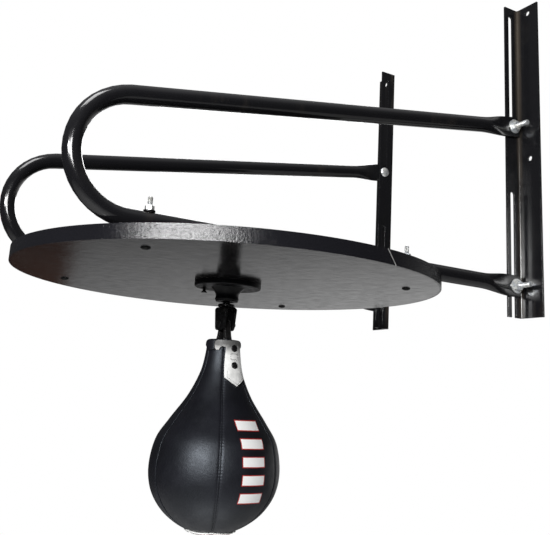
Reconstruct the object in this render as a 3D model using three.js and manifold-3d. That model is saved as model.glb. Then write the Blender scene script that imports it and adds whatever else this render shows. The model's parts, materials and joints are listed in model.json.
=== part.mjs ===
// Speed bag platform: a round rebound board carried by two bent-tube arms that are bolted to two
// slotted angle-iron uprights, with a ball swivel and a small leather bag under the board.
// Millimetres. The wall is the plane y = 0 and the object reaches out along -Y. z = 0 is the
// board's underside, +Z is up, and x = 0 is the plane between the two uprights.
import * as THREE from 'three';
import { mergeVertices } from 'three/addons/utils/BufferGeometryUtils.js';
import Module from 'manifold-3d';

const wasm = await Module();
wasm.setup();

// Driving dimensions -------------------------------------------------------------------------
const GAP = 0.3;                 // clearance between touching pieces

const BOARD_RADIUS = 305;
const BOARD_THICK = 18;
const BOARD_Y = -428;            // board centre, measured from the wall
const BAND_THICK = 2;
const BAND_SEAM_ANGLE = 0.21;    // direction of the band's joint, from +X
const BAND_SEAM_LEAN = THREE.MathUtils.degToRad(40);
const BAND_SEAM_WIDTH = 0.8;

const UPRIGHT_X = 163;           // inner face of the side flange
const UPRIGHT_TOP = 503;
const UPRIGHT_BOTTOM = -18;
const IRON_THICK = 3;
const IRON_FILLET = 3;
const SIDE_FLANGE = 31;          // how far the side flange stands out from the wall
const WALL_FLANGE = 45;
const SLOT_WIDTH = 8.8;
const SLOT_Y = -19;
const UPPER_SLOT_TOP = 488;      // the bolt rests in the lower end of this closed slot
const LOWER_SLOT_TOP = 182;      // the lower slot is open at the bottom
const WALL_HOLE_RADIUS = 4.2;
const WALL_HOLE_X = 25;          // from the side flange's inner face
const WALL_HOLES_Z = [490, 236];

const TUBE_RADIUS = 11.9;
const TUBE_WALL = 1.6;
const BEND_RADIUS = 75;
const BEND_OVAL = 0.93;          // the tube is this much thinner in the plane of its bend
const ARM_FRONT_Y = -731.5;      // foremost point of the bend
const UPPER_LEG_RISE = THREE.MathUtils.degToRad(9.9);
const ARM_END_Y = -9.5;
const FLAT_HEIGHT = 34;
const FLAT_THICK = 5;
const FLAT_START_Y = -33;        // the tube is fully flat from here to its end
const TAPER_LENGTH = 58;

const BOLT_RADIUS = 4;
const BOLT_HEAD_RADIUS = 9.5;
const BOLT_HEAD_HEIGHT = 4.5;
const NUT_FLATS = 13;
const NUT_HEIGHT = 6.5;
const ARM_WASHER_RADIUS = 11.5;
const BOARD_WASHER_RADIUS = 7.2;
const WASHER_THICK = 1.6;
const ARM_STUD = 20;             // bare thread past the arm's nut
const BOARD_STUD = 11.5;
const BOARD_BOLT_RADIUS = 3;
const BOARD_HEAD_RADIUS = 6;
const BOARD_HEAD_HEIGHT = 2.4;
const BOARD_NUT_FLATS = 10;
const BOARD_NUT_HEIGHT = 5;
const BOARD_BOLT_OFFSET = 193;   // along the arm, from the board's centre

const HOUSING_RADIUS = 48.5;
const HOUSING_FLANGE = 7.5;
const MOUTH_Z = -27.5;
const MOUTH_RADIUS = 9.2;
const BALL_RADIUS = 10;
const BALL_Z = -16;
const CUP_RADIUS = 12.6;
const NECK_RADIUS = 5.5;
const SCREW_CIRCLE = 36;
const SCREW_RADIUS = 2.3;
const SCREW_LENGTH = 14;
const PROUD_SCREW = 7;           // how far the loose screw stands below the flange
const COLLAR_TOP = -31;
const COLLAR_HEIGHT = 4;
const CLEVIS_TOP = -35.3;
const CLEVIS_BOTTOM = -69;
const CLEVIS_WIDTH = 27;         // along X
const CLEVIS_DEPTH = 20;         // along Y, over both cheeks
const CLEVIS_THICK = 3.2;
const PIN_Z = -60;
const PIN_RADIUS = 3;
const HOOK_TURN = THREE.MathUtils.degToRad(9);   // the hook and bag hang turned this far about Z

const BAG_TOP = -84;
const BAG_BOTTOM = -344;
// The casing's outer radius at heights between its flat top and the rim of the bottom patch.
const BAG_PROFILE = [
  [23, -84], [24.5, -104], [30, -130], [45, -163], [67, -195], [83.5, -222], [89.8, -257], [85, -287],
  [69.5, -312], [47, -330], [25, -339.5], [0, BAG_BOTTOM],
];
const CASING_THICK = 3;
const CASING_MOUTH = 16.5;
const PATCH_RADIUS = 34;
const PATCH_THICK = 1.8;
const STRAP_WIDTH = 12.6;
const STRAP_THICK = 3;
const TAB_THICK = 1.6;
const TAB_TIP = -147;
const RIVETS_Z = [-95, -119];
const RIVET_RADIUS = 1.8;
const BLADDER_TOP = -128;
const BLADDER_THICK = 1.2;
const VALVE_RADIUS = 4;

// Materials ----------------------------------------------------------------------------------
function material(color, roughness, metalness) {
  return new THREE.MeshStandardMaterial({ color, roughness, metalness });
}

const blackPaint = material(0x1b1b1d, 0.35, 0.2);
const zinc = material(0xc6c8c8, 0.35, 0.9);
const blackSteel = material(0x202022, 0.4, 0.6);
const laminate = material(0x232325, 0.15, 0.0);
const edgeBand = material(0x17171a, 0.3, 0.0);
const castIron = material(0x26262a, 0.45, 0.3);
const blackLeather = material(0x18181a, 0.35, 0.0);
const paleLeather = material(0xb9b9b7, 0.5, 0.0);
const webbing = material(0x141416, 0.8, 0.0);
const latex = material(0xc9a878, 0.6, 0.0);

const model = new THREE.Group();

function place(name, geometry, surface, position = [0, 0, 0], rotation = [0, 0, 0], parent = model) {
  const mesh = new THREE.Mesh(geometry, surface);
  mesh.name = name;
  mesh.position.set(...position);
  mesh.rotation.set(...rotation);
  parent.add(mesh);
  return mesh;
}

// Solid helpers ------------------------------------------------------------------------------
function toSolid(geometry) {
  const bare = geometry.clone();
  bare.deleteAttribute('normal');
  bare.deleteAttribute('uv');
  const merged = mergeVertices(bare, 1e-4);
  return new wasm.Manifold(new wasm.Mesh({
    numProp: 3,
    vertProperties: new Float32Array(merged.attributes.position.array),
    triVerts: new Uint32Array(merged.index.array),
  }));
}

function toGeometry(solid) {
  const mesh = solid.getMesh();
  const geometry = new THREE.BufferGeometry();
  geometry.setAttribute('position', new THREE.BufferAttribute(new Float32Array(mesh.vertProperties), 3));
  geometry.setIndex(new THREE.BufferAttribute(new Uint32Array(mesh.triVerts), 1));
  geometry.computeVertexNormals();
  return geometry;
}

function cut(geometry, tools) {
  let solid = toSolid(geometry);
  for (const tool of tools) solid = solid.subtract(toSolid(tool));
  return toGeometry(solid);
}

function extrude(shape, depth, curveSegments = 24) {
  return new THREE.ExtrudeGeometry(shape, { depth, bevelEnabled: false, curveSegments });
}

// A rod along +Z from z = low to z = high.
function rodZ(radius, low, high, segments = 20) {
  const rod = new THREE.CylinderGeometry(radius, radius, high - low, segments);
  return rod.rotateX(Math.PI / 2).translate(0, 0, (low + high) / 2);
}

// A rod along +X from x = low to x = high.
function rodX(radius, low, high, segments = 20) {
  return rodZ(radius, low, high, segments).rotateY(Math.PI / 2);
}

// A rod along +Y from y = low to y = high.
function rodY(radius, low, high, segments = 20) {
  return rodZ(radius, low, high, segments).rotateX(-Math.PI / 2);
}

// A solid of revolution about Z from [radius, z] points that start and end on the axis, listed
// either way round: the profile is turned so that its outer side runs upwards.
function turned(points, segments = 32) {
  const profile = points.map(([radius, z]) => new THREE.Vector2(radius, z));
  if (THREE.ShapeUtils.area(profile) < 0) profile.reverse();
  return new THREE.LatheGeometry(profile, segments).rotateX(Math.PI / 2);
}

// A closed ring of revolution about Z: the profile comes back to its first point.
function turnedRing(points, segments = 32) {
  return turned([...points, points[0]], segments);
}

function hexagon(acrossFlats) {
  const radius = acrossFlats / Math.sqrt(3);
  const shape = new THREE.Shape();
  for (let corner = 0; corner < 6; corner += 1) {
    const angle = (corner * Math.PI) / 3;
    const method = corner === 0 ? 'moveTo' : 'lineTo';
    shape[method](radius * Math.cos(angle), radius * Math.sin(angle));
  }
  shape.closePath();
  return shape;
}

function circleHole(radius, x = 0, y = 0) {
  return new THREE.Path().absarc(x, y, radius, 0, 2 * Math.PI, true);
}

// Fasteners, each standing along +Z on z = 0 ---------------------------------------------------
function washerGeometry(radius, boltRadius) {
  const shape = new THREE.Shape().absarc(0, 0, radius, 0, 2 * Math.PI, false);
  shape.holes.push(circleHole(boltRadius + GAP));
  return extrude(shape, WASHER_THICK, 9);
}

function nutGeometry(flats, height, boltRadius) {
  const shape = hexagon(flats);
  shape.holes.push(circleHole(boltRadius + GAP));
  return extrude(shape, height, 6);
}

// A bolt with a domed head below z = 0 and its shank up to z = length.
function boltGeometry(length, radius, headRadius, headHeight) {
  const points = [[0, -headHeight]];
  for (let step = 1; step <= 4; step += 1) {
    const angle = (step * Math.PI) / 8;
    points.push([headRadius * Math.sin(angle), -headHeight * Math.cos(angle)]);
  }
  points.push([radius, 0], [radius, length - 1], [radius - 0.8, length], [0, length]);
  return turned(points, 16);
}

// Arms ---------------------------------------------------------------------------------------
const ARM_X = UPRIGHT_X + IRON_THICK + GAP + FLAT_THICK / 2;
const LEG_Z = BOARD_THICK + GAP + TUBE_RADIUS;
const BEND_Y = ARM_FRONT_Y + TUBE_RADIUS + BEND_RADIUS;
const BEND_Z = LEG_Z + BEND_RADIUS;
const BEND_SWEEP = Math.PI - UPPER_LEG_RISE;

// The centre line's stations, from the lower end at the wall round the bend to the upper end.
// flat runs from 0 on the round tube to 1 on the flattened end.
function legStations(toPoint, heading) {
  const flatY = [ARM_END_Y, FLAT_START_Y];
  const stations = flatY.map((y) => ({ ...toPoint(y), heading, flat: 1 }));
  for (const share of [0.17, 0.33, 0.5, 0.67, 0.83, 1]) {
    const y = FLAT_START_Y - share * TAPER_LENGTH;
    const flat = 0.5 + 0.5 * Math.cos(Math.PI * share);
    stations.push({ ...toPoint(y), heading, flat });
  }
  return stations;
}

function upperLegPoint(y) {
  const startY = BEND_Y - BEND_RADIUS * Math.sin(BEND_SWEEP);
  const startZ = BEND_Z - BEND_RADIUS * Math.cos(BEND_SWEEP);
  return { y, z: startZ + (y - startY) * Math.tan(UPPER_LEG_RISE) };
}

const UPPER_BOLT_Z = upperLegPoint(SLOT_Y).z;

function armStations() {
  const stations = legStations((y) => ({ y, z: LEG_Z }), Math.PI);
  const steps = 20;
  for (let step = 0; step <= steps; step += 1) {
    const turn = (BEND_SWEEP * step) / steps;
    stations.push({
      y: BEND_Y - BEND_RADIUS * Math.sin(turn),
      z: BEND_Z - BEND_RADIUS * Math.cos(turn),
      heading: Math.PI - turn,
      flat: 0,
      oval: 1 - (1 - BEND_OVAL) * Math.sin(Math.PI * step / steps) ** 0.5,
    });
  }
  return [...stations, ...legStations(upperLegPoint, UPPER_LEG_RISE).reverse()];
}

// Moves one point of a round section to its place: across is along X, up is in the arm's plane.
// A flattened section is a slot shape with the same height all along its straight part.
function sectionPoint(angle, { flat, oval = 1 }, wall) {
  const radius = TUBE_RADIUS - wall;
  const round = [radius * Math.cos(angle), oval * radius * Math.sin(angle)];
  const half = FLAT_THICK / 2;
  const flatAcross = half * Math.sign(Math.cos(angle)) * Math.min(1, Math.abs(Math.cos(angle)) * 2.6);
  const flatUp = (FLAT_HEIGHT / 2) * Math.sin(angle);
  return [
    round[0] + (flatAcross - round[0]) * flat,
    round[1] + (flatUp - round[1]) * flat,
  ];
}

// A tube through the stations, made wall thinner all round, from a plain cylinder's rings.
function sweptTube(stations, wall, sides) {
  const tube = new THREE.CylinderGeometry(1, 1, stations.length - 1, sides, stations.length - 1);
  const position = tube.attributes.position;
  for (let index = 0; index < position.count; index += 1) {
    const row = Math.round((stations.length - 1) / 2 - position.getY(index));
    const station = stations[row];
    const x = position.getX(index);
    const z = position.getZ(index);
    const onAxis = Math.hypot(x, z) < 0.5;
    const [across, up] = onAxis ? [0, 0] : sectionPoint(Math.atan2(z, x), station, wall);
    const normalY = -Math.sin(station.heading);
    const normalZ = Math.cos(station.heading);
    position.setXYZ(index, -across, station.y + up * normalY, station.z + up * normalZ);
  }
  return tube;
}

function armGeometry(side) {
  const tube = sweptTube(armStations(), 0, 18).translate(side * ARM_X, 0, 0);
  const round = armStations().filter((station) => station.flat < 0.3);
  const bore = sweptTube(round, TUBE_WALL, 9).translate(side * ARM_X, 0, 0);
  const holeRadius = BOLT_RADIUS + GAP;
  const cutters = [bore];
  for (const z of [LEG_Z, UPPER_BOLT_Z]) {
    cutters.push(rodX(holeRadius, -20, 20, 12).translate(side * ARM_X, SLOT_Y, z));
  }
  for (const offset of [-BOARD_BOLT_OFFSET, BOARD_BOLT_OFFSET]) {
    const hole = rodZ(BOARD_BOLT_RADIUS + GAP, -20, 20, 12);
    cutters.push(hole.translate(side * ARM_X, BOARD_Y + offset, LEG_Z));
  }
  return cut(tube, cutters);
}

// Uprights -----------------------------------------------------------------------------------
// The right upright in place; the left one is its mirror image.
function uprightOutline(side) {
  const shape = new THREE.Shape();
  const inner = UPRIGHT_X;
  const corner = inner + IRON_THICK;
  shape.moveTo(side * inner, 0);
  shape.lineTo(side * inner, -SIDE_FLANGE);
  shape.lineTo(side * corner, -SIDE_FLANGE);
  shape.lineTo(side * corner, -IRON_THICK - IRON_FILLET);
  shape.quadraticCurveTo(side * corner, -IRON_THICK, side * (corner + IRON_FILLET), -IRON_THICK);
  shape.lineTo(side * (inner + WALL_FLANGE), -IRON_THICK);
  shape.lineTo(side * (inner + WALL_FLANGE), 0);
  shape.closePath();
  return shape;
}

// A slot through the side flange, from z = low to z = high, with round ends.
function slotCutter(side, low, high) {
  const radius = SLOT_WIDTH / 2;
  const shape = new THREE.Shape();
  shape.absarc(0, high - radius, radius, 0, Math.PI, false);
  shape.absarc(0, low + radius, radius, Math.PI, 2 * Math.PI, false);
  shape.closePath();
  const cutter = extrude(shape, IRON_THICK + 4, 8).translate(0, 0, -2);
  cutter.rotateX(Math.PI / 2).rotateZ(Math.PI / 2);
  const x = side > 0 ? UPRIGHT_X : -UPRIGHT_X - IRON_THICK;
  return cutter.translate(x, SLOT_Y, 0);
}

function wallHoleCutter(side, z) {
  const hole = rodZ(WALL_HOLE_RADIUS, -5, 5, 16).rotateX(Math.PI / 2);
  return hole.translate(side * (UPRIGHT_X + WALL_HOLE_X), 0, z);
}

function uprightGeometry(side) {
  const bar = extrude(uprightOutline(side), UPRIGHT_TOP - UPRIGHT_BOTTOM, 4);
  bar.translate(0, 0, UPRIGHT_BOTTOM);
  const slots = [
    slotCutter(side, UPPER_BOLT_Z - SLOT_WIDTH / 2, UPPER_SLOT_TOP),
    slotCutter(side, UPRIGHT_BOTTOM - 20, LOWER_SLOT_TOP),
  ];
  const holes = WALL_HOLES_Z.map((z) => wallHoleCutter(side, z));
  return cut(bar, [...slots, ...holes]);
}

// Arm fasteners ------------------------------------------------------------------------------
// The bolt, washer and nut that clamp one arm end to its upright, along X with the nut outside.
function addArmFasteners(sideName, levelName, side, z) {
  const group = new THREE.Group();
  group.position.set(side * (UPRIGHT_X - GAP), SLOT_Y, z);
  group.rotation.y = (side * Math.PI) / 2;
  model.add(group);
  const stack = IRON_THICK + FLAT_THICK + 3 * GAP;
  const tag = `${sideName}_${levelName}`;
  const length = stack + WASHER_THICK + NUT_HEIGHT + ARM_STUD;
  const bolt = boltGeometry(length, BOLT_RADIUS, BOLT_HEAD_RADIUS, BOLT_HEAD_HEIGHT);
  place(`arm_bolt_${tag}`, bolt, zinc, [0, 0, 0], [0, 0, 0], group);
  const washer = washerGeometry(ARM_WASHER_RADIUS, BOLT_RADIUS);
  place(`arm_washer_${tag}`, washer, zinc, [0, 0, stack], [0, 0, 0], group);
  const nutZ = stack + WASHER_THICK + GAP;
  const nut = nutGeometry(NUT_FLATS, NUT_HEIGHT, BOLT_RADIUS);
  place(`arm_nut_${tag}`, nut, zinc, [0, 0, nutZ], [0, 0, 0.35], group);
}

// Board --------------------------------------------------------------------------------------
function screwPlaces() {
  const places = [];
  for (let index = 0; index < 4; index += 1) {
    const angle = ((2 * index + 1) * Math.PI) / 4;
    places.push([SCREW_CIRCLE * Math.cos(angle), SCREW_CIRCLE * Math.sin(angle)]);
  }
  return places;
}

function boardGeometry() {
  const shape = new THREE.Shape().absarc(0, 0, BOARD_RADIUS - BAND_THICK - GAP, 0, 2 * Math.PI, false);
  const disc = extrude(shape, BOARD_THICK, 96);
  const holes = screwPlaces().map(([x, y]) => rodZ(SCREW_RADIUS + GAP, -5, 12, 10).translate(x, y, 0));
  for (const x of [-ARM_X, ARM_X]) {
    for (const y of [-BOARD_BOLT_OFFSET, BOARD_BOLT_OFFSET]) {
      holes.push(rodZ(BOARD_BOLT_RADIUS + GAP, -5, BOARD_THICK + 5, 12).translate(x, y, 0));
    }
  }
  return cut(disc, holes);
}

// A ring with one skived joint: a narrow slit that leans along the ring.
function bandGeometry() {
  const shape = new THREE.Shape().absarc(0, 0, BOARD_RADIUS, 0, 2 * Math.PI, false);
  shape.holes.push(circleHole(BOARD_RADIUS - BAND_THICK));
  const slit = new THREE.BoxGeometry(20, BAND_SEAM_WIDTH, 3 * BOARD_THICK);
  slit.rotateX(BAND_SEAM_LEAN).translate(BOARD_RADIUS, 0, BOARD_THICK / 2).rotateZ(BAND_SEAM_ANGLE);
  return cut(extrude(shape, BOARD_THICK, 96), [slit]);
}

// The bolt from below the board up through the arm's lower leg, with its washer and nut on top.
function addBoardFasteners(sideName, endName, side, offset) {
  const group = new THREE.Group();
  group.position.set(side * ARM_X, BOARD_Y + offset, -GAP);
  model.add(group);
  const stack = BOARD_THICK + 2 * TUBE_RADIUS + 3 * GAP;
  const tag = `${sideName}_${endName}`;
  const length = stack + WASHER_THICK + BOARD_NUT_HEIGHT + BOARD_STUD;
  const bolt = boltGeometry(length, BOARD_BOLT_RADIUS, BOARD_HEAD_RADIUS, BOARD_HEAD_HEIGHT);
  place(`board_bolt_${tag}`, bolt, zinc, [0, 0, 0], [0, 0, 0], group);
  const washer = washerGeometry(BOARD_WASHER_RADIUS, BOARD_BOLT_RADIUS);
  place(`board_washer_${tag}`, washer, blackSteel, [0, 0, stack], [0, 0, 0], group);
  const nutZ = stack + WASHER_THICK + GAP;
  const nut = nutGeometry(BOARD_NUT_FLATS, BOARD_NUT_HEIGHT, BOARD_BOLT_RADIUS);
  place(`board_nut_${tag}`, nut, zinc, [0, 0, nutZ], [0, 0, 0], group);
}

// Swivel -------------------------------------------------------------------------------------
// Everything from here down is under the board's centre: fixed to the board in the group hanger, or
// hanging in the group hook.
const hanger = new THREE.Group();
hanger.position.set(0, BOARD_Y, 0);
model.add(hanger);

const hook = new THREE.Group();
hook.rotation.z = HOOK_TURN;
hanger.add(hook);

function fix(name, geometry, surface, position, rotation) {
  return place(name, geometry, surface, position, rotation, hanger);
}

function hang(name, geometry, surface, position, rotation) {
  return place(name, geometry, surface, position, rotation, hook);
}

// Points on an arc about the ball's centre, as [radius, z], from one elevation to another.
function ballArc(radius, fromDegrees, toDegrees, steps) {
  const points = [];
  for (let step = 0; step <= steps; step += 1) {
    const angle = THREE.MathUtils.degToRad(fromDegrees + ((toDegrees - fromDegrees) * step) / steps);
    points.push([radius * Math.cos(angle), BALL_Z + radius * Math.sin(angle)]);
  }
  return points;
}

// The flange and its hub are one casting, hollow inside for the ball's cup and open at the mouth.
function housingGeometry() {
  const pocket = CUP_RADIUS + GAP;
  const body = turnedRing([
    [HOUSING_RADIUS, -GAP], [HOUSING_RADIUS, 1 - HOUSING_FLANGE], [HOUSING_RADIUS - 1, -HOUSING_FLANGE],
    [24, -HOUSING_FLANGE], [20, -11.5], [17, -16.5], [16.4, -20], [17.4, -24], [15.8, MOUTH_Z],
    [MOUTH_RADIUS, MOUTH_Z], ...ballArc(pocket, -38, 0, 3), [pocket, -GAP],
  ], 32);
  const tools = [];
  for (const [x, y] of screwPlaces()) {
    tools.push(rodZ(SCREW_RADIUS + GAP, -30, 5, 12).translate(x, y, 0));
    const sink = new THREE.CylinderGeometry(SCREW_RADIUS + GAP, 5.6, 3.6, 16).rotateX(Math.PI / 2);
    tools.push(sink.translate(x, y, 1.4 - HOUSING_FLANGE));
  }
  return cut(body, tools);
}

// A countersunk wood screw, head down at z = 0 and point up.
function screwGeometry() {
  return turned([
    [0, 0], [4.6, 0], [4.6, 0.4], [SCREW_RADIUS, 2.8], [SCREW_RADIUS, SCREW_LENGTH - 3],
    [0.4, SCREW_LENGTH], [0, SCREW_LENGTH],
  ], 14);
}

function addScrews() {
  screwPlaces().forEach(([x, y], index) => {
    const proud = index === 2 ? PROUD_SCREW : 0;
    fix(`flange_screw_${index + 1}`, screwGeometry(), blackSteel, [x, y, -HOUSING_FLANGE - proud]);
  });
}

// The cup turns in the housing and holds the ball from its sides and from above.
function cupGeometry() {
  const roof = BALL_Z + 13;
  return turned([
    [0, roof], [CUP_RADIUS, roof], ...ballArc(CUP_RADIUS, 0, -36, 3),
    ...ballArc(BALL_RADIUS + GAP, -34, 90, 7).map(([radius, z]) => [Math.max(radius, 0), z]),
  ].map(([radius, z], index, all) => [index === all.length - 1 ? 0 : radius, z]), 18);
}

// The ball and its neck are one piece, peened over under the clevis's crown.
function ballStudGeometry() {
  const foot = CLEVIS_TOP - CLEVIS_THICK - GAP;
  return turned([
    [0, foot - 3], [5, foot - 3], [6.4, foot - 1.6], [6.4, foot], [NECK_RADIUS, foot],
    ...ballArc(BALL_RADIUS, -56, 76, 7), [0, BALL_Z + BALL_RADIUS],
  ], 18);
}

function collarGeometry() {
  const bore = NECK_RADIUS + GAP;
  const low = COLLAR_TOP - COLLAR_HEIGHT;
  return turnedRing([[bore, low], [12, low], [12, COLLAR_TOP - 1], [11, COLLAR_TOP], [bore, COLLAR_TOP]], 28);
}

// Flat bar bent to an upside-down U across Y, its cheeks tapered and rounded towards the pin.
function clevisGeometry() {
  const half = CLEVIS_DEPTH / 2;
  const bend = new THREE.Shape();
  bend.moveTo(-half, CLEVIS_BOTTOM);
  bend.lineTo(-half, CLEVIS_TOP - 4);
  bend.quadraticCurveTo(-half, CLEVIS_TOP, 4 - half, CLEVIS_TOP);
  bend.lineTo(half - 4, CLEVIS_TOP);
  bend.quadraticCurveTo(half, CLEVIS_TOP, half, CLEVIS_TOP - 4);
  bend.lineTo(half, CLEVIS_BOTTOM);
  bend.lineTo(half - CLEVIS_THICK, CLEVIS_BOTTOM);
  bend.lineTo(half - CLEVIS_THICK, CLEVIS_TOP - CLEVIS_THICK);
  bend.lineTo(CLEVIS_THICK - half, CLEVIS_TOP - CLEVIS_THICK);
  bend.lineTo(CLEVIS_THICK - half, CLEVIS_BOTTOM);
  bend.closePath();
  const bar = extrude(bend, CLEVIS_WIDTH, 5).translate(0, 0, -CLEVIS_WIDTH / 2);
  bar.rotateX(Math.PI / 2).rotateZ(Math.PI / 2);

  const wide = CLEVIS_WIDTH / 2;
  const cheek = new THREE.Shape();
  cheek.moveTo(-wide, CLEVIS_TOP - 3.5);
  cheek.lineTo(3.5 - wide, CLEVIS_TOP + 1);
  cheek.lineTo(wide - 3.5, CLEVIS_TOP + 1);
  cheek.lineTo(wide, CLEVIS_TOP - 3.5);
  cheek.lineTo(wide - 3, CLEVIS_BOTTOM + 5);
  cheek.quadraticCurveTo(wide - 4, CLEVIS_BOTTOM, wide - 9, CLEVIS_BOTTOM);
  cheek.lineTo(9 - wide, CLEVIS_BOTTOM);
  cheek.quadraticCurveTo(4 - wide, CLEVIS_BOTTOM, 3 - wide, CLEVIS_BOTTOM + 5);
  cheek.closePath();
  const side = extrude(cheek, 2 * CLEVIS_DEPTH, 5).translate(0, 0, -CLEVIS_DEPTH).rotateX(Math.PI / 2);

  const tapered = toGeometry(toSolid(bar).intersect(toSolid(side)));
  const pinHole = rodY(PIN_RADIUS + GAP, -20, 20, 18).translate(0, 0, PIN_Z);
  const studHole = rodZ(NECK_RADIUS + GAP, CLEVIS_TOP - 8, CLEVIS_TOP + 5, 28);
  return cut(tapered, [pinHole, studHole]);
}

// The pin's domed head is on the -Y cheek and its nut on the +Y cheek.
function pinGeometry() {
  const cheek = CLEVIS_DEPTH / 2 + GAP;
  const pin = turned([
    [0, -cheek - 2.4], [3, -cheek - 2.2], [5, -cheek - 1], [5, -cheek], [PIN_RADIUS, -cheek],
    [PIN_RADIUS, cheek + 6.5], [0, cheek + 6.5],
  ], 18);
  return pin.rotateX(-Math.PI / 2);
}

function pinNutGeometry() {
  const shape = hexagon(10);
  shape.holes.push(circleHole(PIN_RADIUS + GAP));
  return extrude(shape, 4, 9).rotateX(-Math.PI / 2).translate(0, CLEVIS_DEPTH / 2 + GAP, PIN_Z);
}

// Bag ----------------------------------------------------------------------------------------
// The casing's profile as a smooth curve, moved outwards by offset and sampled in count steps.
function bagCurve(offset, count) {
  const knots = BAG_PROFILE.map(([radius, z]) => new THREE.Vector2(radius, z));
  const curve = new THREE.SplineCurve(knots);
  const points = [];
  for (let step = 0; step <= count; step += 1) {
    const point = curve.getPoint(step / count);
    const tangent = curve.getTangent(step / count);
    points.push([Math.max(0, point.x - tangent.y * offset), point.y + tangent.x * offset]);
  }
  points[count][0] = 0;
  return points;
}

function radiusAt(profile, z) {
  const index = profile.findIndex((point) => point[1] <= z);
  const [above, below] = [profile[index - 1], profile[index]];
  return above[0] + ((below[0] - above[0]) * (above[1] - z)) / (above[1] - below[1]);
}

const SKIN_STEPS = 22;
const outerSkin = bagCurve(0, SKIN_STEPS);
const innerSkin = bagCurve(-CASING_THICK, SKIN_STEPS);

// The part of a profile that lies below height z, starting exactly at that height.
function below(profile, z) {
  return [[radiusAt(profile, z), z], ...profile.filter((point) => point[1] < z - 0.5)];
}

// Where each rivet goes through the tab: a point on the casing's outside and the wall's slope.
function rivetFrame(z) {
  const rise = radiusAt(outerSkin, z - 4) - radiusAt(outerSkin, z + 4);
  return { radius: radiusAt(outerSkin, z), slope: Math.atan2(rise, 8) };
}

// Lays a piece that stands along +Z on z = 0 against the casing, pointing out along +X or -X.
function againstCasing(geometry, side, z) {
  const { radius, slope } = rivetFrame(z);
  geometry.rotateY(Math.PI / 2 - slope).translate(radius, 0, z);
  return side > 0 ? geometry : geometry.rotateZ(Math.PI);
}

function rivetHoles() {
  const holes = [];
  for (const side of [1, -1]) {
    for (const z of RIVETS_Z) holes.push(againstCasing(rodZ(RIVET_RADIUS + GAP, -14, 14, 10), side, z));
  }
  return holes;
}

// The leather shell: open at the top for the loop, with the bottom closed.
function casingGeometry() {
  const inner = below(innerSkin, BAG_TOP - CASING_THICK);
  const shell = turned([
    ...[...outerSkin].reverse(), [CASING_MOUTH, BAG_TOP], [CASING_MOUTH, BAG_TOP - CASING_THICK], ...inner,
  ], 24);
  return cut(shell, rivetHoles());
}

// A skin of the given thickness over the casing, as a closed ring between two heights.
function overCasing(thick, high, low) {
  const between = (profile) => [
    [radiusAt(profile, high), high],
    ...profile.filter((point) => point[1] < high - 0.5 && point[1] > low + 0.5),
    [radiusAt(profile, low), low],
  ];
  const outside = between(bagCurve(GAP + thick, SKIN_STEPS));
  const inside = between(bagCurve(GAP, SKIN_STEPS)).reverse();
  return turnedRing([...outside, ...inside], 36);
}

// The pale tab: a collar band round the top, running down to a pointed end.
function tabGeometry(side) {
  const outline = new THREE.Shape();
  outline.moveTo(-16, -80);
  outline.lineTo(-16, -84.5);
  outline.quadraticCurveTo(-21, -88, -21.5, -94);
  outline.quadraticCurveTo(-20, -99, -16, -98);
  outline.quadraticCurveTo(-12.5, -97, -12.5, -94);
  outline.lineTo(-16.5, -136);
  outline.lineTo(0, TAB_TIP);
  outline.lineTo(16.5, -136);
  outline.lineTo(12.5, -94);
  outline.quadraticCurveTo(12.5, -97, 16, -98);
  outline.quadraticCurveTo(20, -99, 21.5, -94);
  outline.quadraticCurveTo(21, -88, 16, -84.5);
  outline.lineTo(16, -80);
  outline.closePath();
  const block = extrude(outline, 60, 4).rotateX(Math.PI / 2).rotateZ(Math.PI / 2);
  const skin = toSolid(overCasing(TAB_THICK, BAG_TOP - 0.5, TAB_TIP - 3));
  const tab = toGeometry(skin.intersect(toSolid(block)));
  if (side < 0) tab.rotateZ(Math.PI);
  return cut(tab, rivetHoles());
}

function rivetGeometry(side, z) {
  const seat = GAP + TAB_THICK + 0.9;
  const rivet = turned([
    [0, -CASING_THICK - STRAP_THICK - 1.5], [RIVET_RADIUS, -CASING_THICK - STRAP_THICK - 1.5],
    [RIVET_RADIUS, seat], [5, seat], [4.8, seat + 1], [3.2, seat + 1.9], [0, seat + 2.3],
  ], 16);
  return againstCasing(rivet, side, z);
}

// The strap goes over the pin and down inside the casing's mouth, where the rivets hold its ends.
function loopGeometry() {
  const inside = PIN_RADIUS + GAP;
  const outside = inside + STRAP_THICK;
  const strapFace = (z) => Math.sqrt(radiusAt(innerSkin, z) ** 2 - (STRAP_WIDTH / 2) ** 2) - GAP;
  const bend = [[9.5, -76], [13.5, -87]];
  const faces = [-94, -106, -118, -126].map((z) => [strapFace(z), z]);
  const shape = new THREE.Shape();
  shape.absarc(0, PIN_Z, outside, 0, Math.PI, false);
  for (const [x, z] of [...bend, ...faces]) shape.lineTo(-x, z);
  for (const [x, z] of [...faces].reverse()) shape.lineTo(STRAP_THICK - x, z);
  for (const [x, z] of [...bend].reverse()) shape.lineTo(STRAP_THICK - x, z - 0.6);
  shape.absarc(0, PIN_Z, inside, Math.PI, 0, true);
  for (const [x, z] of bend) shape.lineTo(x - STRAP_THICK, z - 0.6);
  for (const [x, z] of faces) shape.lineTo(x - STRAP_THICK, z);
  for (const [x, z] of [...faces].reverse()) shape.lineTo(x, z);
  for (const [x, z] of [...bend].reverse()) shape.lineTo(x, z);
  shape.closePath();
  const strap = extrude(shape, STRAP_WIDTH, 14).translate(0, 0, -STRAP_WIDTH / 2).rotateX(Math.PI / 2);
  return cut(strap, rivetHoles());
}

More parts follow.
